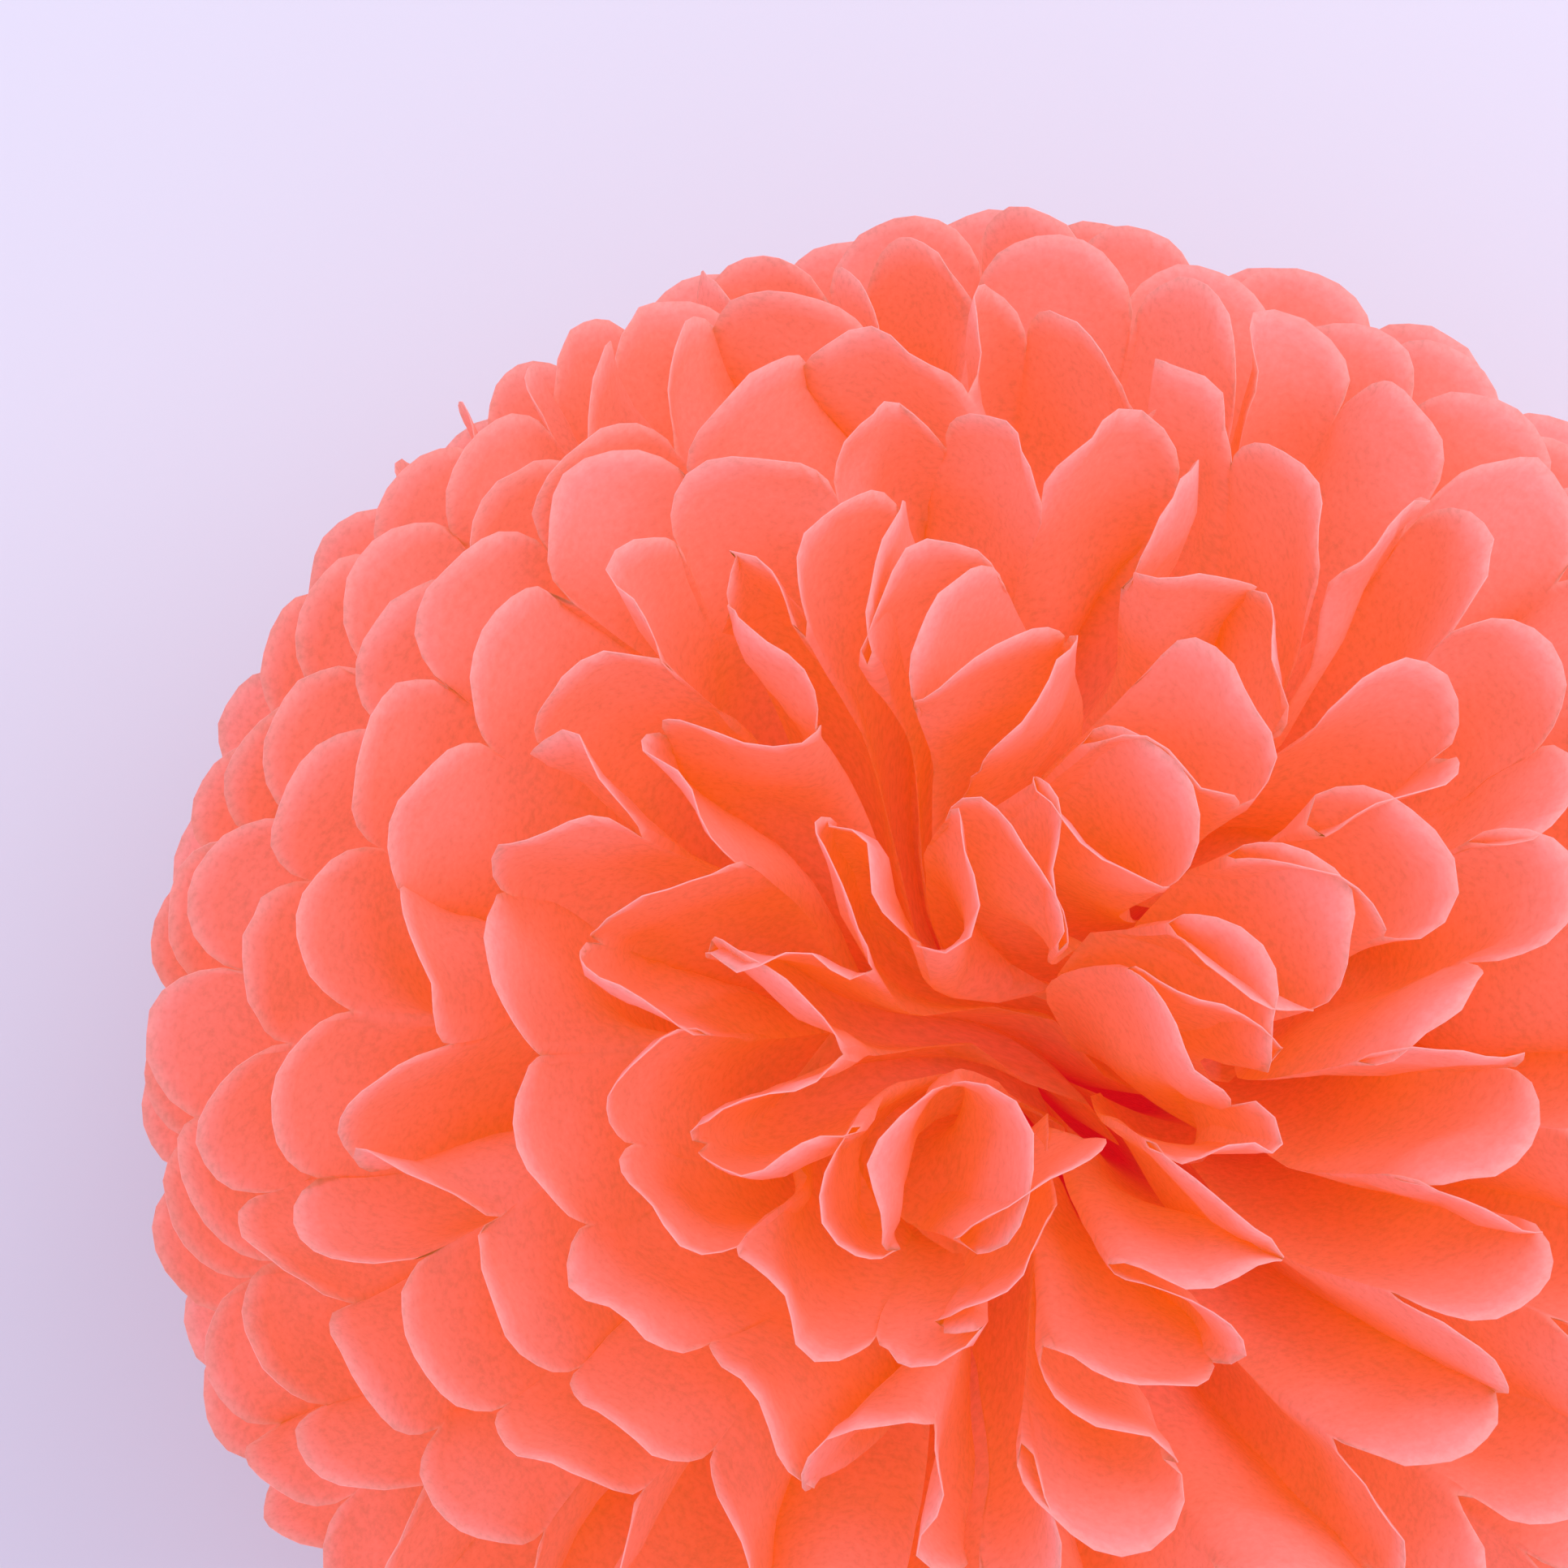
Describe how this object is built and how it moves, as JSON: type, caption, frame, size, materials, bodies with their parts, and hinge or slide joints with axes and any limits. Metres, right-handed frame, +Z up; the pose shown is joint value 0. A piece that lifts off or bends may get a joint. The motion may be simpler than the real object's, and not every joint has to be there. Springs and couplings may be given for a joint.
{
  "type": "tissue paper pom pom",
  "caption": "Ball of pleated tissue sheets with round scalloped ends, tied at the middle and fluffed out above and below the tie.",
  "frame": {"origin": "on the ground under the middle of the ball", "axes": "+Z up, from the tie to the open top of the ball; the folded strip lay along X and the wire crosses it along Y"},
  "size_m": [0.2484, 0.2479, 0.242],
  "materials": {
    "tissue": "matt coral tissue, thin enough for light to pass through",
    "wire": "dull drawn florist's wire"
  },
  "bodies": {
    "root": {"sheet_01": "tissue", "sheet_02": "tissue", "sheet_03": "tissue", "sheet_04": "tissue", "sheet_05": "tissue", "sheet_06": "tissue", "sheet_07": "tissue", "sheet_08": "tissue", "sheet_09": "tissue", "sheet_10": "tissue", "sheet_11": "tissue", "sheet_12": "tissue", "sheet_13": "tissue", "sheet_14": "tissue", "sheet_15": "tissue", "sheet_16": "tissue", "tie_wire": "wire"}
  },
  "joints": []
}
